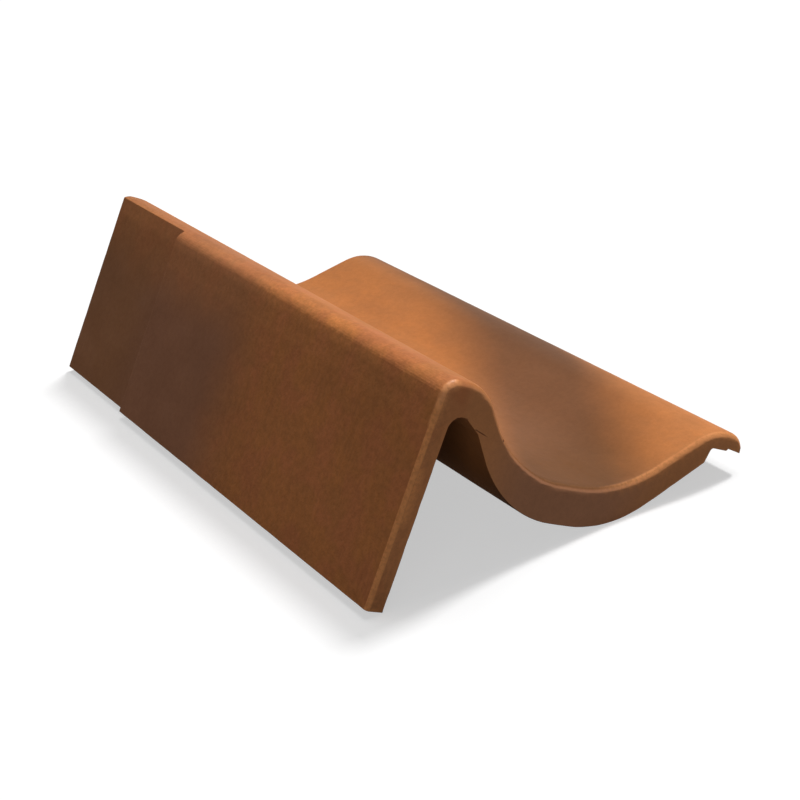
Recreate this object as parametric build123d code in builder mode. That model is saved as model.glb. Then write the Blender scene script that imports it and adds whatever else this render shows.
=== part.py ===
from build123d import *
import os
from math import atan2, cos, degrees, radians, sin, tan

# Left-hand cloaked verge tile, millimetres, one piece of fired clay.
# It is drawn in its own section, u across the tile from the outer face of the
# hanging skirt, and v up from the skirt's bottom edge. The section runs along Y,
# from the eaves end to the head. The tile lies as it does unheld on a floor,
# on the skirt's bottom edge and the underside of the trough.

tile_length = 420.0
tile_width = 255.0

# Skirt that hangs over the gable, and the fold above it
skirt_height = 137.0
skirt_thickness = 12.0
fold_corner_radius = 11.0
fold_crest_width = 32.0
fold_flank_radius = 32.0
fold_thickness = 14.0
fold_cavity_angle = 32.0
fold_cavity_radius = 8.0
fold_bend_radius = 6.0

# Trough, and the pan below it
trough_depth = 48.0
flank_angle = 50.5
rise_angle = 38.5
trough_flank_radius = 88.0
trough_rise_radius = 102.0
pan_thickness = 25.0
pan_rise_angle = 40.5
pan_flank_radius = 86.0
pan_rise_radius = 92.0

# Roll at the right edge, which laps over the next tile
roll_rise = 51.0
roll_radius = 40.0
roll_reach = 16.0
roll_fall_angle = 16.0
roll_edge_radius = 6.0
lap_thickness = 12.0
lap_width = 29.0
lap_step_lean = 2.0
lap_step_radius = 2.5
groove_from_edge = 13.5
groove_lean = 1.3
groove_depth = 1.5

# Rounded eaves edge, head lap cut from the skirt, and hanging nib
eaves_edge_radius = 3.0
head_lap_length = 99.0
head_lap_depth = 4.5
head_lap_lift = 0.75
nib_width = 30.0
nib_length = 18.0
nib_depth = 11.0
nib_from_flank = 22.0
nib_setback = 22.0
nib_draft = 3.0
nib_corner_radius = 2.5

# Heights of the straight lines of the upper side, and where they meet
trough_v = skirt_height - trough_depth
flank_slope = tan(radians(flank_angle))
rise_slope = tan(radians(rise_angle))
flank_foot = fold_crest_width + trough_depth / flank_slope
roll_centre_u = tile_width - roll_reach
roll_centre_v = trough_v + roll_rise - roll_radius
roll_over_rise = roll_radius / cos(radians(rise_angle))
rise_foot = roll_centre_u - (roll_centre_v + roll_over_rise - trough_v) / rise_slope
roll_apex = roll_radius / cos(radians((rise_angle + roll_fall_angle) / 2))
roll_apex_lean = radians((roll_fall_angle - rise_angle) / 2)
roll_apex_u = roll_centre_u + roll_apex * sin(roll_apex_lean)
roll_apex_v = roll_centre_v + roll_apex * cos(roll_apex_lean)
roll_edge_v = roll_apex_v - (tile_width - roll_apex_u) * tan(radians(roll_fall_angle))

# Heights of the underside, and where its straight lines meet
lap_v = trough_v + roll_rise - lap_thickness
groove_u = tile_width - groove_from_edge
step_top_u = tile_width - lap_width
step_foot_u = step_top_u - lap_step_lean
pan_v = trough_v - pan_thickness
step_foot_v = pan_v + tan(radians(pan_rise_angle)) * (step_foot_u - rise_foot)
cavity_slope = tan(radians(fold_cavity_angle))
cavity_v = skirt_height - fold_thickness
bend_u = (pan_v + flank_slope * flank_foot - cavity_v - cavity_slope * skirt_thickness) / (
    flank_slope - cavity_slope
)
bend_v = cavity_v - cavity_slope * (bend_u - skirt_thickness)

# Share of a side that the roundings at its two ends may take up
rounded_share = 0.99

# Points along the underside for finding how the tile lies, and nearness to the upper outline
lying_samples = 4000
outline_tolerance = 0.01


def rounded_line(points, radii):
    """Line through the points, each corner rounded by its radius, or as far as its sides allow."""
    sides = [Vector(*end) - Vector(*start) for start, end in zip(points, points[1:])]
    turns = [radians(before.get_angle(after)) for before, after in zip(sides, sides[1:])]
    reaches = [0] + [radius * tan(turn / 2) for radius, turn in zip(radii, turns)] + [0]
    room = []
    for side, start_reach, end_reach in zip(sides, reaches, reaches[1:]):
        free_length = rounded_share * side.length
        room.append(free_length / max(free_length, start_reach + end_reach))
    fitted = [radius * min(before, after) for radius, before, after in zip(radii, room, room[1:])]
    return FilletPolyline(*points, radius=fitted)


def upper_side():
    """From the skirt's bottom over the fold, the trough and the roll to the right edge."""
    return rounded_line(
        points=[
            (0, 0),
            (0, skirt_height),
            (fold_crest_width, skirt_height),
            (flank_foot, trough_v),
            (rise_foot, trough_v),
            (roll_apex_u, roll_apex_v),
            (tile_width, roll_edge_v),
            (tile_width, lap_v),
        ],
        radii=[
            fold_corner_radius,
            fold_flank_radius,
            trough_flank_radius,
            trough_rise_radius,
            roll_radius,
            roll_edge_radius,
        ],
    )


def under_side():
    """From the right edge along the lap, its step and the pan to the skirt's bottom."""
    return rounded_line(
        points=[
            (tile_width, lap_v),
            (groove_u, lap_v + groove_depth),
            (groove_u - groove_lean, lap_v),
            (step_top_u, lap_v),
            (step_foot_u, step_foot_v),
            (rise_foot, pan_v),
            (flank_foot, pan_v),
            (bend_u, bend_v),
            (skirt_thickness, cavity_v),
            (skirt_thickness, 0),
        ],
        radii=[
            0,
            0,
            lap_step_radius,
            lap_step_radius,
            pan_rise_radius,
            pan_flank_radius,
            fold_bend_radius,
            fold_cavity_radius,
        ],
    )


with BuildSketch() as section:
    with BuildLine():
        upper_side()
        under_line = under_side()
        Line((skirt_thickness, 0), (0, 0))
    make_face()

with BuildLine() as upper_outline:
    upper_side()

# The tile lies on the lowest line from the skirt's inner corner to the underside
under_points = [under_line @ (sample / lying_samples) for sample in range(lying_samples)]
lie_angle = min(
    degrees(atan2(point.Y, point.X - skirt_thickness)) for point in under_points if point.X > flank_foot
)

# The section's plane at the eaves end, turned as the tile lies, over the origin
lying_box = section.sketch.rotate(Axis.Z, -lie_angle).bounding_box()
across = (cos(radians(lie_angle)), 0, -sin(radians(lie_angle)))
eaves_end = Plane(
    origin=(-lying_box.center().X, -tile_length / 2, -lying_box.min.Y),
    x_dir=across,
    z_dir=(0, -1, 0),
)
head_end = eaves_end.offset(-tile_length)

with BuildPart() as verge_tile:
    with BuildSketch(eaves_end):
        add(section.sketch)
    extrude(amount=-tile_length)

    # Rounded upper edge of the eaves end
    rounded_outline = eaves_end.from_local_coords(upper_outline.line)
    eaves_edges = verge_tile.faces().sort_by(Axis.Y)[0].edges()
    upper_edges = eaves_edges.filter_by(
        lambda edge: rounded_outline.distance_to(edge.center()) < outline_tolerance
    )
    fillet(upper_edges, radius=eaves_edge_radius)

    # Hanging nib under the head, which hooks over the batten
    nib_left = flank_foot + nib_from_flank - nib_width / 2
    nib_right = nib_left + nib_width
    nib_top = trough_v - pan_thickness / 2
    nib_bottom = pan_v - nib_depth
    with BuildSketch(head_end.offset(nib_setback + nib_length)):
        with BuildLine():
            rounded_line(
                points=[
                    (nib_left, nib_top),
                    (nib_left + nib_draft, nib_bottom),
                    (nib_right - nib_draft, nib_bottom),
                    (nib_right, nib_top),
                ],
                radii=[nib_corner_radius, nib_corner_radius],
            )
            Line((nib_right, nib_top), (nib_left, nib_top))
        make_face()
    extrude(amount=-nib_length)

    # Head lap of the skirt, cut back for the skirt of the tile above
    with BuildSketch(head_end):
        Rectangle(head_lap_depth, 2 * skirt_height, align=(Align.MIN, Align.CENTER))
        with Locations((0, head_lap_lift)):
            Rectangle(2 * skirt_thickness, skirt_height, align=(Align.CENTER, Align.MAX))
    extrude(amount=head_lap_length, mode=Mode.SUBTRACT)

verge_tile.part.label = "verge_tile"
os.makedirs("parts", exist_ok=True)
export_step(verge_tile.part, "parts/verge_tile.step")

lying_size = verge_tile.part.bounding_box().size
print("solids", len(verge_tile.solids()), "volume", round(verge_tile.part.volume))
print("lies turned by", round(lie_angle, 4), "degrees, size", lying_size, "origin", eaves_end.origin)
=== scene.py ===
import bmesh
import bpy
from math import atan2, ceil, cos, degrees, radians, sin
from mathutils import Matrix, Vector, noise
from mathutils.kdtree import KDTree


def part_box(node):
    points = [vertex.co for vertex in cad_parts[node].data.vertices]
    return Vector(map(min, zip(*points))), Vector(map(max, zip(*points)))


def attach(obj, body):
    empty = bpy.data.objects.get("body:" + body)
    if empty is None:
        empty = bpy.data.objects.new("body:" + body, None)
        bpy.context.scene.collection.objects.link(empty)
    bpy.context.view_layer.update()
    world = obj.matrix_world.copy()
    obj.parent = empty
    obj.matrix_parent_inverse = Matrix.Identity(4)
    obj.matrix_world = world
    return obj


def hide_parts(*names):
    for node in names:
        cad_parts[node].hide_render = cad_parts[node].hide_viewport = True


# A left-hand cloaked verge tile of fired clay on a pale floor, in metres and degrees.
# The clay's look is placed by the tile's own section, in millimetres: u across from
# the skirt's outer face, y along from the eaves end, and v up from the skirt's foot.
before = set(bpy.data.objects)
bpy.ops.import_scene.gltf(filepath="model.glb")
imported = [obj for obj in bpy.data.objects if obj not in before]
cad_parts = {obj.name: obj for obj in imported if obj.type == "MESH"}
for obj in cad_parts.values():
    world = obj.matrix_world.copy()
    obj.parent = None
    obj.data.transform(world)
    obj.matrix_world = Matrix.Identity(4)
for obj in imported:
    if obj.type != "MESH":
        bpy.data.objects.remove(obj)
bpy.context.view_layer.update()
cad_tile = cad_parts["verge_tile"]
scene = bpy.context.scene
scene.view_settings.view_transform = "Standard"

# Camera, fitted to the photograph's frame of 800 pixels
camera_place = Vector((-0.5320, -0.8533, 0.4828))
camera_aim = Vector((0.0481, -0.0204, 0.0877))
camera_roll = 1.318
camera_reach = 30
focal_pixels = 1596.2
centre_pixel = (448.4, 292.8)
picture_pixels = 800
sensor_mm = 36.0

# How the tile's section lies in the frame, with the section's offset in millimetres
lie_angle = 25.2669
section_offset = (132.289, 210.0, 56.776)
mm_per_metre = 1000
across = Vector((cos(radians(lie_angle)), 0, -sin(radians(lie_angle))))
along = Vector((0, 1, 0))
up = Vector((sin(radians(lie_angle)), 0, cos(radians(lie_angle))))
eaves_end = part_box("verge_tile")[0].y

# Fine mesh of the tile, with the angles that count as straight, flat and sharp
cell = 0.0030
station = 0.0026
weld_distance = 1e-6
straight_angle = 0.1
flat_angle = 0.2
sharp_angle = 40.0
arris_radius = 0.0006

# Smooth curves in place of the facets: the step along them, and where below them they start
# and stop fading
curve_step = 0.0001
curve_reach = 0.0035
curve_fade = 0.008

# Rounding of the eaves end, wider on level parts, on the outline's upper side only
eaves_rounding = 0.003
level_rounding = 0.0055
upper_side_rise = 0.05
skirt_side_facing = 0.9

# Softer arc of the roll's outer edge, with its centre in the tile's section
edge_arc_centre = (244.5, 128.98)
edge_arc_radius = 0.0105
edge_arc_turn = 79.3

# Wear and painted highlight of the arrises, and relief of the surface
worn_and_highlit_angle = 30.0
worn_and_highlit_facing = (0.2, 0.97)
lump_depth = 0.00012
lump_scale = 38
lump_dimension = 1.0
lump_lacunarity = 2.0
lump_octaves = 2
ripple_depth = 0.00006
ripple_scale = 130
chip_depth = 0.0007
chip_scale = 95
chip_least = 0.12

# Colours of the clay, as linear red, green and blue
orange_clay = (0.545, 0.198, 0.058, 1)
dull_orange = (0.500, 0.188, 0.061, 1)
flashed_front = (0.146, 0.058, 0.0185, 1)
flashed_rear = (0.213, 0.089, 0.037, 1)
smoked_middle = (0.280, 0.128, 0.078, 1)
smoked_head = (0.250, 0.112, 0.054, 1)
# The eaves end painted paler than the clay, as painted light on this face in shade
end_orange_painted_light = (0.640, 0.262, 0.104, 1)
end_flashed_painted_light = (0.500, 0.225, 0.118, 1)
sand_red = (0.545, 0.178, 0.070, 1)
# Paler colour of the rubbed arrises, partly wear and partly a painted highlight
rubbed_and_highlit_clay = (0.92, 0.375, 0.135, 1)
mark_brown = (0.09, 0.03, 0.01, 1)

# Noises of the clay: scale in waves for a millimetre, detail, and roughness where it isn't a half
cloud_noise = (0.013, 2.0)
mottle_noise = (0.05, 4.0, 0.6)
grain_noise = (0.42, 2.0, 0.6)
speckle_noise = (1.3, 1.0)
leather_noise = (0.22, 2.0, 0.6)
spots_noise = (0.045, 2.0, 0.5)

# Ramps of the clay's look. Each has a start and an end, and then a low and a high
# where it doesn't go from 0 to 1. Those over the section end with u, y or v.
end_facing = (-0.55, -0.9)
mark_facing = (-0.15, -0.4)
underside_facing = (-0.03, -0.2)
skirt_end_u = (24.0, 14.0)
sand_end_u = (14.0, 4.0)
patch_start_y = (160.0, 236.0)
patch_foot_v = (124.0, 76.0, 0.5, 1.0)
head_smoke_y = (300.0, 370.0)
band_tone_y = (20.0, 110.0)
# Painted shade: the smoke band darker over the roll's top, which faces the key lamp
band_painted_shade_u = (205.0, 232.0, 1.0, 0.66)
# Brighter towards the front of the rise and roll
brighter_rise_u = (175.0, 200.0)
brighter_roll_u = (232.0, 212.0)
brighter_front_y = (95.0, 15.0, 0.0, 0.15)
trough_tone_u = (40.0, 170.0, 0.95, 1.05)
# Painted light on the fold's outer corner, lighter than the lamps make it
painted_fold_light_u = (8.0, 2.0)
painted_fold_light_v = (120.0, 127.0)
mottle_tone = (0.35, 0.65)
reddish_tone = (0.42, 0.66, 0.1, 0.6)
cloud_tone = (0.3, 0.7, 0.95, 1.05)
leather_tone = (0.34, 0.66, -0.07, 0.07)
grain_tone = (0.3, 0.7, -0.05, 0.05)
speckle_tone = (0.25, 0.45, 0.93, 1.0)
rough_tone = (0.0, 1.0, 0.4, 1.0)
# Where the arrises near the eaves end are rubbed and painted with a highlight
rubbed_and_highlit_grain = (0.35, 0.6, 0.6, 1.0)
rubbed_and_highlit_eaves_y = (4.5, 2.5, 0.08, 0.95)
rubbed_and_highlit_skirt_u = (14.0, 8.0, 0.08, 1.0)
rubbed_and_highlit_roll_u = (130.0, 185.0, 0.0, 0.7)
polished_u = (12.0, 6.0)
polished_v = (116.0, 130.0)
# Painted shade on the faces that look down, the cavity under the fold among them, darker lower down
underside_painted_shade_v = (78.0, 112.0, 0.42, 0.6)
face_roughness = (0.2, 0.8, 0.56, 0.70)

# Strengths of the clay's features, on its colour, roughness, coat and relief
drift_width = 16.0
patch_strength = 0.75
# Strength of the painted light on the fold's outer corner
painted_fold_light_strength = 0.42
mark_strength = 0.8
band_smoothness = -0.2
underside_roughness = 0.95
clay_specular = 0.08
coat_strength = 0.8
coat_roughness = 0.42
leather_height = 0.75
grain_height = 0.3
speckle_height = 0.1
mark_depth = 0.5
relief_distance = 0.0009
plain_relief = 0.15
sand_relief = 0.5

# Edges of the smoke band, as u for each y, and how they fade
band_right_start = 174.0
band_right_slope = 0.47
band_right_fade = (28.0, -26.0)
band_left_y = 90.0
band_left_start = 130.0
band_left_slope = 0.66
band_left_bend = 0.0011
band_left_fade = (-24.0, 24.0)

# Crease and speck on the eaves end
crease_start = (31.8, 111.5)
crease_angle = -15.5
crease_length = 12.0
crease_width = (0.5, 0.15)
crease_lead = (-1.0, 0.5)
speck_place = (55.2, 108.0)
speck_fade = (0.9, 0.3)

# Floor and surroundings: what the camera sees is pale, and what lights the tile is dim
floor_radius = 5
floor_sides = 96
seen_grey = (0.52, 0.52, 0.52, 1)
lighting_grey = (0.18, 0.18, 0.18, 1)
floor_glow = 0.53
sky_white = (1, 1, 1, 1)
sky_light = 0.08
sky_seen = 1.0


def make_camera():
    camera_data = bpy.data.cameras.new("camera")
    camera_data.sensor_width = sensor_mm
    camera_data.lens = sensor_mm * focal_pixels / picture_pixels
    camera_data.shift_x = 0.5 - centre_pixel[0] / picture_pixels
    camera_data.shift_y = centre_pixel[1] / picture_pixels - 0.5
    camera_data.clip_end = camera_reach
    camera = bpy.data.objects.new("camera", camera_data)
    level = (camera_aim - camera_place).to_track_quat("-Z", "Y").to_matrix()
    turn = Matrix.Rotation(radians(-camera_roll), 3, "Z")
    camera.matrix_world = Matrix.Translation(camera_place) @ (level @ turn).to_4x4()
    scene.collection.objects.link(camera)
    scene.camera = camera


def make_sun(name, towards, strength, spread):
    """A lamp that shines from the direction towards, with a soft edge of spread degrees."""
    sun = bpy.data.lights.new(name, "SUN")
    sun.energy = strength
    sun.angle = radians(spread)
    lamp = bpy.data.objects.new(name, sun)
    lamp.rotation_euler = Vector(towards).to_track_quat("Z", "Y").to_euler()
    scene.collection.objects.link(lamp)


class Graph:
    """Short ways to build a node tree."""

    def __init__(self, owner):
        owner.use_nodes = True
        self.tree = owner.node_tree
        self.tree.nodes.clear()

    def node(self, kind, inputs=None, **settings):
        made = self.tree.nodes.new(kind)
        for name, value in settings.items():
            setattr(made, name, value)
        for name, value in (inputs or {}).items():
            self.feed(made.inputs[name], value)
        return made

    def feed(self, socket, value):
        if isinstance(value, bpy.types.NodeSocket):
            self.tree.links.new(value, socket)
        else:
            socket.default_value = value

    def math(self, operation, first, second=0.0):
        return self.node("ShaderNodeMath", {0: first, 1: second}, operation=operation).outputs[0]

    def plus(self, first, second):
        return self.math("ADD", first, second)

    def minus(self, first, second):
        return self.math("SUBTRACT", first, second)

    def times(self, product, *factors):
        for factor in factors:
            product = self.math("MULTIPLY", product, factor)
        return product

    def highest(self, first, second):
        return self.math("MAXIMUM", first, second)

    def ramp(self, value, start, end, low=0.0, high=1.0):
        """Smooth step of value from start to end."""
        inputs = {"Value": value, "From Min": start, "From Max": end, "To Min": low, "To Max": high}
        return self.node("ShaderNodeMapRange", inputs, interpolation_type="SMOOTHSTEP").outputs[0]

    def noise(self, place, scale, detail, roughness=0.5):
        inputs = {"Vector": place, "Scale": scale, "Detail": detail, "Roughness": roughness}
        return self.node("ShaderNodeTexNoise", inputs).outputs["Fac"]

    def stretch(self, place, scale=(1, 1, 1), location=(0, 0, 0)):
        inputs = {"Vector": place, "Scale": scale, "Location": location}
        return self.node("ShaderNodeMapping", inputs).outputs[0]

    def mix(self, factor, first, second, blend="MIX"):
        """Blend of two colours, by the node's own sockets for colours."""
        inputs = {0: factor, 6: first, 7: second}
        return self.node("ShaderNodeMix", inputs, data_type="RGBA", blend_type=blend).outputs[2]

    def shade(self, colour, brightness):
        """Colour times a brightness value."""
        return self.mix(1.0, colour, brightness, "MULTIPLY")

    def brighten(self, colour, share):
        """Colour made brighter by a share of itself."""
        return self.shade(colour, self.plus(share, 1.0))


def everything(mesh):
    return mesh.verts[:] + mesh.edges[:] + mesh.faces[:]


def after_each(items):
    """The items, each moved up by one, so that they pair with the item before."""
    return items[1:] + items[:1]


def before_each(items):
    return items[-1:] + items[:-1]


def turn_between(before, after):
    """Angle in degrees by which a line turns from one side to the next."""
    return degrees(before.angle(after, 0))


def section_points(mesh):
    """The tile's outline halfway along, as points in order, without those on a straight side."""
    cut = mesh.copy()
    bmesh.ops.bisect_plane(
        cut, geom=everything(cut), plane_co=(0, 0, 0), plane_no=along, clear_inner=True, clear_outer=True
    )
    vertex = cut.verts[:][0]
    edge = vertex.link_edges[0]
    ordered = []
    for _ in range(len(cut.verts)):
        ordered.append(vertex.co.copy())
        vertex = edge.other_vert(vertex)
        edge = [other for other in vertex.link_edges if other is not edge][0]
    cut.free()
    kept = []
    for before, point, after in zip(before_each(ordered), ordered, after_each(ordered)):
        if turn_between(point - before, after - point) > straight_angle:
            kept.append(point)
    return kept


def soften_roll_edge(point):
    """The outline's point, pulled in onto the softer arc where it lies outside it."""
    centre_u, centre_v = edge_arc_centre
    centre = across * (centre_u - section_offset[0]) + up * (centre_v - section_offset[2])
    centre = centre / mm_per_metre
    away = point - centre
    turn = degrees(atan2(away.dot(up), away.dot(across)))
    if 0 < turn < edge_arc_turn and away.length > edge_arc_radius:
        return centre + away.normalized() * edge_arc_radius
    return point


def rounding_shifts(points):
    """Places along the faceted outline, each with its shift to the smooth curve and its outward direction."""
    places, shifts, outwards = [], [], []
    area = sum((point.cross(after) for point, after in zip(points, after_each(points))), Vector())
    for before, corner, after in zip(before_each(points), points, after_each(points)):
        start, end = (before + corner) / 2, (corner + after) / 2
        keep_sharp = turn_between(corner - before, after - corner) > sharp_angle
        steps = ceil(((corner - start).length + (end - corner).length) / curve_step)
        for step in range(steps):
            t = step / steps
            faceted = start.lerp(corner, 2 * t) if t < 0.5 else corner.lerp(end, 2 * t - 1)
            smooth = start * (1 - t) ** 2 + corner * 2 * t * (1 - t) + end * t**2
            places.append(faceted)
            shifts.append(soften_roll_edge(faceted if keep_sharp else smooth) - faceted)
            turned = round(t) if keep_sharp else t
            outwards.append((corner - start).lerp(end - corner, turned).cross(area).normalized())
    return places, shifts, outwards


def widened_rounding(depth, back, outward):
    """How far a vertex near the eaves end goes in and back, onto a rounding that is wider on level parts."""
    on_upper_side = outward.dot(up) > upper_side_rise or outward.dot(across) < -skirt_side_facing
    radius = eaves_rounding + (level_rounding - eaves_rounding) * max(0.0, outward.dot(up))
    from_centre = Vector((radius - depth, radius - back))
    if not on_upper_side or min(from_centre) < 0 or from_centre.length < radius:
        return Vector()
    moved = from_centre * (1 - radius / from_centre.length)
    return along * moved.y - outward * moved.x


def cut_grid(mesh, direction, spacing):
    """Cut the mesh by evenly spaced planes across a direction."""
    reach = [vertex.co.dot(direction) for vertex in mesh.verts]
    count = int((max(reach) - min(reach)) / spacing)
    for index in range(1, count + 1):
        place = direction * (min(reach) + index * spacing)
        bmesh.ops.bisect_plane(mesh, geom=everything(mesh), plane_co=place, plane_no=direction)


def follow_outline(mesh, places, shifts, outwards):
    """Move each vertex as the nearest place on the outline says."""
    tree = KDTree(len(places))
    for index, place in enumerate(places):
        tree.insert((place.x, 0, place.z), index)
    tree.balance()
    for vertex in mesh.verts:
        _, index, distance = tree.find((vertex.co.x, 0, vertex.co.z))
        share = min(1.0, max(0.0, (curve_fade - distance) / (curve_fade - curve_reach)))
        depth = (places[index] - vertex.co).dot(outwards[index])
        rounded = widened_rounding(depth, vertex.co.y - eaves_end, outwards[index])
        vertex.co += share * Vector((shifts[index].x, 0, shifts[index].z)) + rounded


def on_eaves_rounding(vertex):
    near_end = vertex.co.y < eaves_end + level_rounding
    return near_end and worn_and_highlit_facing[0] < -vertex.normal.y < worn_and_highlit_facing[1]


def mark_worn_and_highlit(mesh):
    """Give the vertices on the arrises a mark of 1, for their wear and painted highlight, and their
    neighbours a half.
    """
    layer = mesh.verts.layers.float.new("worn_and_highlit")
    mesh.normal_update()
    arrises = {vertex for vertex in mesh.verts if on_eaves_rounding(vertex)}
    for edge in mesh.edges:
        if edge.calc_face_angle(0) > radians(worn_and_highlit_angle):
            arrises.update(edge.verts)
    for vertex in arrises:
        for edge in vertex.link_edges:
            edge.other_vert(vertex)[layer] = 0.5
    for vertex in arrises:
        vertex[layer] = 1.0
    return layer


def press_relief(mesh, layer):
    """Press lumps, ripples and chipped arrises into the surface, always inwards."""
    mesh.normal_update()
    for vertex in mesh.verts:
        place = vertex.co
        lump = noise.fractal(place * lump_scale, lump_dimension, lump_lacunarity, lump_octaves)
        ripple = noise.noise(place * ripple_scale)
        chip = max(0.0, noise.noise(place * chip_scale) - chip_least) * vertex[layer] ** 2
        depth = lump_depth * (0.5 + 0.5 * lump) + ripple_depth * (0.5 + 0.5 * ripple) + chip_depth * chip
        vertex.co = place - vertex.normal * depth
        vertex.co.y = max(vertex.co.y, eaves_end)


def fine_tile_mesh():
    """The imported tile's surface with smooth arcs, softened arrises and an even grid of faces."""
    mesh = bmesh.new()
    mesh.from_mesh(cad_tile.data)
    bmesh.ops.remove_doubles(mesh, verts=mesh.verts, dist=weld_distance)
    bmesh.ops.dissolve_limit(mesh, angle_limit=radians(flat_angle), verts=mesh.verts, edges=mesh.edges)
    places, shifts, outwards = rounding_shifts(section_points(mesh))
    sharp = [edge for edge in mesh.edges if edge.calc_face_angle(0) > radians(sharp_angle)]
    bmesh.ops.bevel(
        mesh, geom=sharp, offset=arris_radius, segments=2, profile=0.5, affect="EDGES", clamp_overlap=True
    )
    cut_grid(mesh, across, cell)
    cut_grid(mesh, up, cell)
    cut_grid(mesh, along, station)
    follow_outline(mesh, places, shifts, outwards)
    press_relief(mesh, mark_worn_and_highlit(mesh))
    return mesh


class ClayGraph(Graph):
    """The clay's node tree, with the place in the section, the facing, the noises and the smoke."""

    def __init__(self, clay):
        super().__init__(clay)
        mapping = {
            "Vector": self.node("ShaderNodeTexCoord").outputs["Object"],
            "Location": section_offset,
            "Rotation": (0, radians(-lie_angle), 0),
            "Scale": (mm_per_metre, mm_per_metre, mm_per_metre),
        }
        place = self.node("ShaderNodeMapping", mapping).outputs[0]
        self.u, self.y, self.v = self.node("ShaderNodeSeparateXYZ", {0: place}).outputs
        self.worn_and_highlit = self.node("ShaderNodeAttribute", attribute_name="worn_and_highlit").outputs["Fac"]

        self.cloud = self.noise(place, *cloud_noise)
        self.mottle = self.noise(self.stretch(place, scale=(1, 0.6, 1), location=(40, 0, 90)), *mottle_noise)
        self.grain = self.noise(place, *grain_noise)
        self.speckle = self.noise(self.stretch(place, location=(11, 7, 3)), *speckle_noise)
        self.leather = self.noise(self.stretch(place, scale=(1, 0.9, 0.9)), *leather_noise)
        self.spots = self.noise(self.stretch(place, location=(5, 61, 17)), *spots_noise)

        normal = self.node("ShaderNodeNewGeometry").outputs["Normal"]
        _, facing_along, facing_up = self.node("ShaderNodeSeparateXYZ", {0: normal}).outputs
        self.on_end = self.ramp(facing_along, *end_facing)
        self.on_marked_end = self.ramp(facing_along, *mark_facing)
        self.underneath = self.ramp(facing_up, *underside_facing)

        self.drift = self.times(self.minus(self.cloud, 0.5), drift_width)
        self.band = self.smoke_band()
        self.on_skirt = self.ramp(self.u, *skirt_end_u)
        self.patch = self.smoke_patch()
        self.sanded = self.minus(self.on_skirt, self.patch)
        self.rough = self.times(self.sanded, self.ramp(self.u, *sand_end_u))

    def smoke_band(self):
        """How much of the smoke band across the trough and up over the roll lies at a place."""
        shifted = self.plus(self.u, self.drift)
        right_edge = self.plus(self.times(self.y, band_right_slope), band_right_start)
        behind = self.minus(self.y, band_left_y)
        slope = self.minus(band_left_slope, self.times(behind, band_left_bend))
        left_edge = self.plus(self.times(behind, slope), band_left_start)
        inside_right = self.ramp(self.minus(shifted, right_edge), *band_right_fade)
        inside_left = self.ramp(self.minus(shifted, left_edge), *band_left_fade)
        return self.times(inside_right, inside_left)

    def smoke_patch(self):
        """How much of the smoke on the skirt, behind its middle, lies at a place."""
        far_back = self.ramp(self.plus(self.y, self.drift), *patch_start_y)
        low_down = self.ramp(self.plus(self.v, self.drift), *patch_foot_v)
        return self.times(far_back, low_down, self.on_skirt)


def fired_colour_with_painted_light(graph):
    """Orange clay, browner in the smoke band and greyer in the skirt's smoke, brighter towards the front of
    the rise and roll, with painted shade on the band over the roll's top and painted light on the fold's
    corner, and its end painted paler as painted light on a face in shade.
    """
    orange = graph.mix(graph.ramp(graph.mottle, *mottle_tone), orange_clay, dull_orange)
    # Brighter towards the front of the rise and roll
    brighter_front = graph.times(graph.ramp(graph.u, *brighter_rise_u), graph.ramp(graph.u, *brighter_roll_u))
    orange = graph.brighten(orange, graph.times(brighter_front, graph.ramp(graph.y, *brighter_front_y)))
    brown = graph.mix(graph.ramp(graph.y, *band_tone_y), flashed_front, flashed_rear)
    # Painted shade on the band over the roll's top
    brown = graph.shade(brown, graph.ramp(graph.u, *band_painted_shade_u))
    smoke = graph.mix(graph.ramp(graph.y, *head_smoke_y), smoked_middle, smoked_head)
    colour = graph.mix(graph.band, orange, brown)
    colour = graph.mix(graph.times(graph.patch, patch_strength), colour, smoke)
    colour = graph.shade(colour, graph.ramp(graph.u, *trough_tone_u))
    # Painted light on the fold's outer corner
    painted_fold_light = graph.times(graph.ramp(graph.v, *painted_fold_light_v), graph.ramp(graph.u, *painted_fold_light_u))
    colour = graph.brighten(colour, graph.times(painted_fold_light, painted_fold_light_strength))
    # The eaves end painted paler, as painted light on this face in shade
    return graph.mix(graph.on_end, colour, graph.mix(graph.band, end_orange_painted_light, end_flashed_painted_light))


def textured(graph, colour):
    """The colour with the sand's red spots, strokes and grain, and with clouds and speckles."""
    reddish = graph.times(graph.ramp(graph.spots, *reddish_tone), graph.sanded)
    colour = graph.mix(reddish, colour, sand_red)
    colour = graph.shade(colour, graph.ramp(graph.cloud, *cloud_tone))
    strokes = graph.plus(graph.ramp(graph.leather, *leather_tone), graph.ramp(graph.grain, *grain_tone))
    colour = graph.brighten(colour, graph.times(strokes, graph.ramp(graph.rough, *rough_tone)))
    return graph.shade(colour, graph.ramp(graph.speckle, *speckle_tone))


def rubbed_and_highlit_arrises(graph):
    """How far a place is rubbed and painted with a highlight: most on the eaves end's arris, along the skirt
    and over the roll.
    """
    patchy = graph.ramp(graph.grain, *rubbed_and_highlit_grain)
    near_end = graph.ramp(graph.y, *rubbed_and_highlit_eaves_y)
    on_sides = graph.highest(graph.ramp(graph.u, *rubbed_and_highlit_skirt_u), graph.ramp(graph.u, *rubbed_and_highlit_roll_u))
    return graph.times(graph.worn_and_highlit, patchy, near_end, on_sides)


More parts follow.
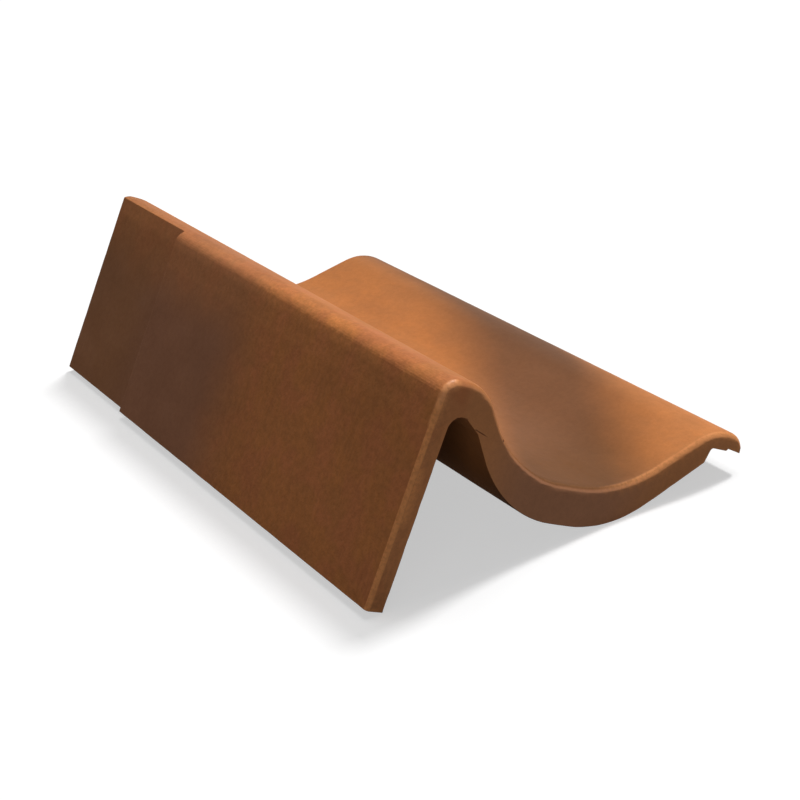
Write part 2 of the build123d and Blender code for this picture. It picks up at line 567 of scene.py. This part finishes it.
def end_marks(graph):
    """The crease that runs on from the cavity's roof across the eaves end, and a speck beside it."""
    from_start_u = graph.minus(graph.u, crease_start[0])
    from_start_v = graph.minus(graph.v, crease_start[1])
    run_u, run_v = cos(radians(crease_angle)), sin(radians(crease_angle))
    run = graph.plus(graph.times(from_start_u, run_u), graph.times(from_start_v, run_v))
    side = graph.minus(graph.times(from_start_v, run_u), graph.times(from_start_u, run_v))
    crease = graph.times(
        graph.ramp(graph.math("ABSOLUTE", side), *crease_width),
        graph.ramp(run, *crease_lead),
        graph.ramp(run, crease_length, 0.5 * crease_length),
    )
    away_u = graph.math("POWER", graph.minus(graph.u, speck_place[0]), 2.0)
    away_v = graph.math("POWER", graph.minus(graph.v, speck_place[1]), 2.0)
    speck = graph.ramp(graph.plus(away_u, away_v), *speck_fade)
    return graph.times(graph.highest(crease, speck), graph.on_marked_end)


def clay_roughness(graph):
    """Semi-matte, a little smoother in the smoke band, and dull underneath."""
    face = graph.ramp(graph.plus(graph.mottle, graph.times(graph.band, band_smoothness)), *face_roughness)
    return graph.highest(face, graph.times(graph.underneath, underside_roughness))


def clay_relief(graph, marks):
    """Bump of the sand's leather and grain, strongest on the skirt, with the marks pressed in."""
    height = graph.plus(graph.times(graph.leather, leather_height), graph.times(graph.grain, grain_height))
    height = graph.plus(height, graph.times(graph.speckle, speckle_height))
    height = graph.minus(height, graph.times(marks, mark_depth))
    strength = graph.plus(graph.times(graph.rough, sand_relief), plain_relief)
    inputs = {"Height": height, "Distance": relief_distance, "Strength": strength}
    return graph.node("ShaderNodeBump", inputs).outputs[0]


def make_clay():
    """Fired clay: orange where the flame was clean, brown and greyer where smoke flashed it."""
    clay = bpy.data.materials.new("fired_clay_look")
    graph = ClayGraph(clay)
    marks = end_marks(graph)
    rubbed_and_highlit = rubbed_and_highlit_arrises(graph)
    on_fold_corner = graph.times(graph.ramp(graph.v, *polished_v), graph.ramp(graph.u, *polished_u))
    polished = graph.times(rubbed_and_highlit, on_fold_corner)
    # Painted shade on the underside and in the cavity, darker lower down
    underside_painted_shade = graph.ramp(graph.v, *underside_painted_shade_v)
    # Rubbed arrises painted paler, partly wear and partly a painted highlight
    colour = graph.mix(rubbed_and_highlit, textured(graph, fired_colour_with_painted_light(graph)), rubbed_and_highlit_clay)
    colour = graph.shade(colour, graph.ramp(graph.underneath, 0.0, 1.0, 1.0, underside_painted_shade))
    inputs = {
        "Base Color": graph.mix(graph.times(marks, mark_strength), colour, mark_brown),
        "Roughness": clay_roughness(graph),
        "Normal": clay_relief(graph, marks),
        "Specular IOR Level": clay_specular,
        "Coat Weight": graph.times(polished, coat_strength),
        "Coat Roughness": coat_roughness,
    }
    surface = graph.node("ShaderNodeBsdfPrincipled", inputs)
    graph.node("ShaderNodeOutputMaterial", {"Surface": surface.outputs[0]})
    return clay


def seen_by_camera(graph):
    """1 for camera, glossy and transmission rays, which see the white background."""
    path = graph.node("ShaderNodeLightPath")
    seen = graph.highest(path.outputs["Is Camera Ray"], path.outputs["Is Glossy Ray"])
    return graph.highest(seen, path.outputs["Is Transmission Ray"])


def make_floor():
    bpy.ops.mesh.primitive_circle_add(vertices=floor_sides, radius=floor_radius, fill_type="NGON")
    floor = bpy.context.object
    floor.name = "floor"
    paint = bpy.data.materials.new("floor_paint")
    graph = Graph(paint)
    direct = graph.node("ShaderNodeLightPath").outputs["Is Camera Ray"]
    grey = graph.mix(direct, lighting_grey, seen_grey)
    pale = graph.node("ShaderNodeBsdfDiffuse", {"Color": grey})
    glow = graph.node("ShaderNodeEmission", {"Strength": graph.times(seen_by_camera(graph), floor_glow)})
    both = graph.node("ShaderNodeAddShader", {0: pale.outputs[0], 1: glow.outputs[0]})
    graph.node("ShaderNodeOutputMaterial", {"Surface": both.outputs[0]})
    floor.data.materials.append(paint)


def make_world():
    world = bpy.data.worlds.new("studio")
    scene.world = world
    graph = Graph(world)
    strength = graph.ramp(seen_by_camera(graph), 0.0, 1.0, sky_light, sky_seen)
    background = graph.node("ShaderNodeBackground", {"Color": sky_white, "Strength": strength})
    graph.node("ShaderNodeOutputWorld", {"Surface": background.outputs[0]})


def make_tile(clay):
    mesh = fine_tile_mesh()
    tile_data = bpy.data.meshes.new("clay_tile")
    mesh.to_mesh(tile_data)
    mesh.free()
    tile_data.polygons.foreach_set("use_smooth", [True] * len(tile_data.polygons))
    tile_data.materials.append(clay)
    tile = bpy.data.objects.new("clay_tile", tile_data)
    scene.collection.objects.link(tile)
    tile.modifiers.new("even_normals", "WEIGHTED_NORMAL")
    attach(tile, "root")
    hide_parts("verge_tile")


make_camera()
make_sun("key", towards=(0.54, 0.15, 0.83), strength=2.4, spread=9)
make_sun("overhead", towards=(0.25, 0.20, 0.94), strength=0.8, spread=30)
make_sun("fill", towards=(-0.70, -0.66, 0.28), strength=0.34, spread=40)
make_world()
make_floor()
make_tile(make_clay())
